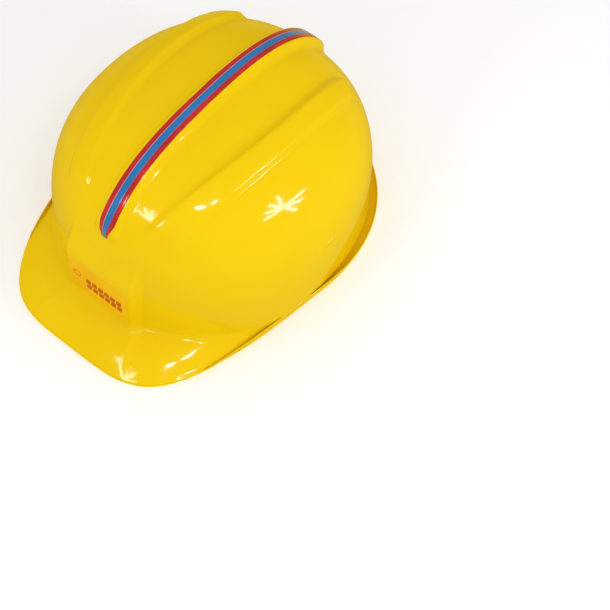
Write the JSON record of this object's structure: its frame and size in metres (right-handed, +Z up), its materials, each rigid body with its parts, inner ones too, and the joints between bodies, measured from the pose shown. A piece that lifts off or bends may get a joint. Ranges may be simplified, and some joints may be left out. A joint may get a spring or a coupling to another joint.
{
  "type": "hard hat",
  "caption": "Child-size safety helmet: ridged yellow dome with peak and rolled lip, crown tape, badge, and a plastic head harness with a sliding size strap.",
  "frame": {"origin": "on the resting plane, under the middle of the brim outline", "axes": "+Z up through the crown, the peak towards -Y, the wearer's left is +X"},
  "size_m": [0.192, 0.25, 0.1256],
  "materials": {
    "shell_plastic": "glossy injection-moulded",
    "tape_red": "glossy printed film",
    "tape_blue": "glossy printed film",
    "badge_label": "satin film",
    "badge_marks": "printed",
    "harness_plastic": "milky satin",
    "label_paper": "matt"
  },
  "bodies": {
    "hat": {"shell": "shell_plastic", "liner_lugs": "shell_plastic", "tape_red": "tape_red", "tape_blue": "tape_blue", "badge_label": "badge_label", "badge_marks": "badge_marks", "crown_cradle": "harness_plastic", "side_tab_left": "harness_plastic", "side_tab_right": "harness_plastic", "nape_tab": "harness_plastic", "headband_left": "harness_plastic", "headband_right": "harness_plastic", "strap_keepers": "harness_plastic", "size_pegs": "harness_plastic", "nape_studs": "harness_plastic", "care_label": "label_paper"},
    "strap": {"size_strap": "harness_plastic"}
  },
  "joints": [
    {"name": "size_adjust", "type": "hinge", "parent": "hat", "child": "strap", "pos_m": [0, 0.01, 0.018], "axis": [0, 0, 1], "range_deg": [-18.6, 6.2]}
  ]
}
